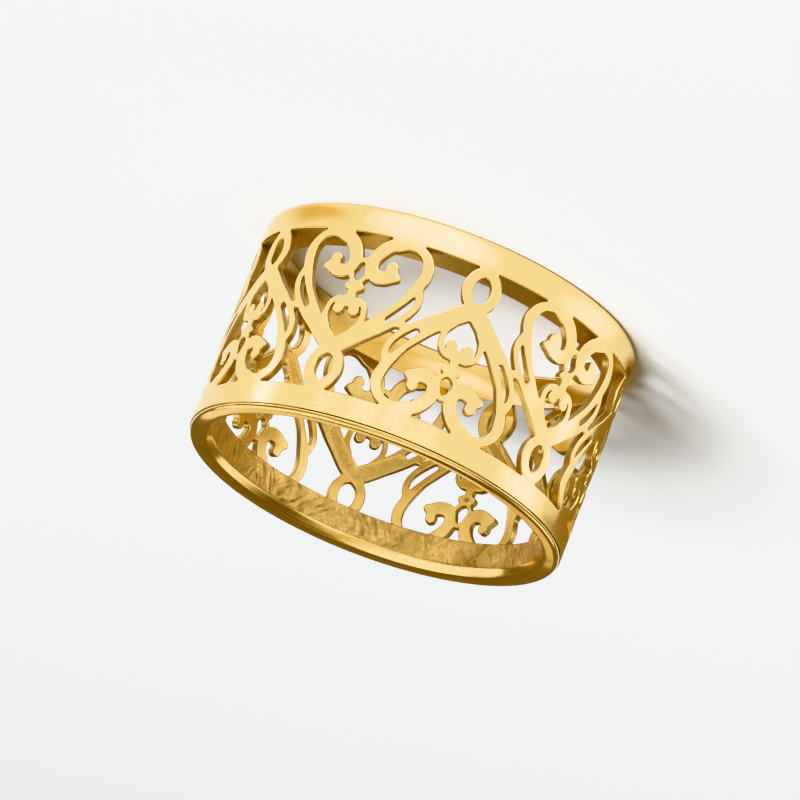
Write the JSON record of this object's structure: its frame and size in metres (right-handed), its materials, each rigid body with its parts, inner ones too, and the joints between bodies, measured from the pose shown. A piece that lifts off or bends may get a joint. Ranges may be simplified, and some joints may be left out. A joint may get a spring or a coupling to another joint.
{
  "type": "filigree openwork ring",
  "caption": "Wide finger ring cast in one piece, with plain rims and a thin wall between them pierced in alternating hearts and scrolls.",
  "frame": {"origin": "centre of the lower rim's end face, which the ring rests on when it lies on its side", "axes": "+Z along the finger hole towards the upper rim, -Y through the middle of one downward heart"},
  "size_m": [0.0195, 0.0196, 0.0115],
  "materials": {
    "gold": "polished"
  },
  "bodies": {
    "root": {"filigree_band": "gold"}
  },
  "joints": []
}
